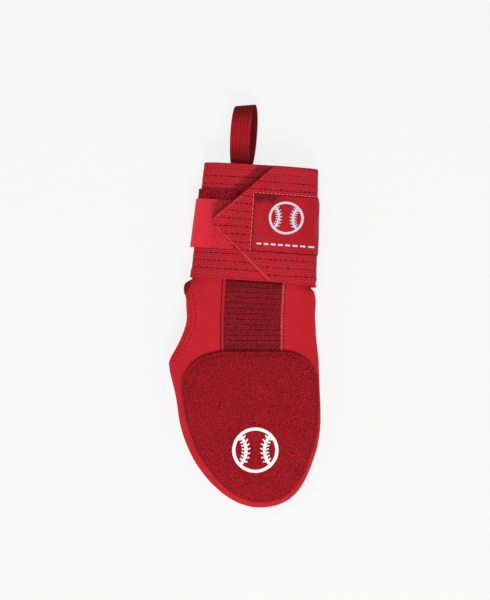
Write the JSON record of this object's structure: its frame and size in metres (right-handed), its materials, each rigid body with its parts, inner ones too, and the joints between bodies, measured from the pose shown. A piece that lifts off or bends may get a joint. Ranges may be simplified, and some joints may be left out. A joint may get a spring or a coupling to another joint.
{
  "type": "baseball sliding mitt",
  "caption": "Left-hand baseball sliding mitt: padded pouch with thumb hole, stretch panel, guard pad, elastic wrist strap with hook tab, and a webbing pull loop.",
  "frame": {"origin": "on the flat of the palm where the mitt rests, midway along the pouch on its middle line", "axes": "+Y from the fingertips to the wrist, +Z out of the back of the hand, +X towards the little-finger side"},
  "size_m": [0.1228, 0.323, 0.0383],
  "materials": {
    "foam_jersey": "foam-backed jersey, matt",
    "ribbed_elastic": "dark ribbed elastic",
    "fuzzy_pad": "brushed loop fabric over a hard guard",
    "strap_elastic": "wide ribbed elastic with woven dashes",
    "loop_pile": "dark loop pile",
    "smooth_tab": "smooth coated tab",
    "satin_label": "woven satin",
    "webbing": "herringbone webbing",
    "white_print": "raised matt print",
    "silver_thread": "silver-lilac woven thread"
  },
  "bodies": {
    "root": {"palm_panel": "foam_jersey", "back_panel": "foam_jersey", "stretch_panel": "ribbed_elastic", "guard_pad": "fuzzy_pad", "pad_emblem": "white_print", "wrist_strap": "strap_elastic", "pile_strip": "loop_pile", "hook_tab": "smooth_tab", "strap_label": "satin_label", "label_emblem": "silver_thread", "pull_loop": "webbing"}
  },
  "joints": []
}
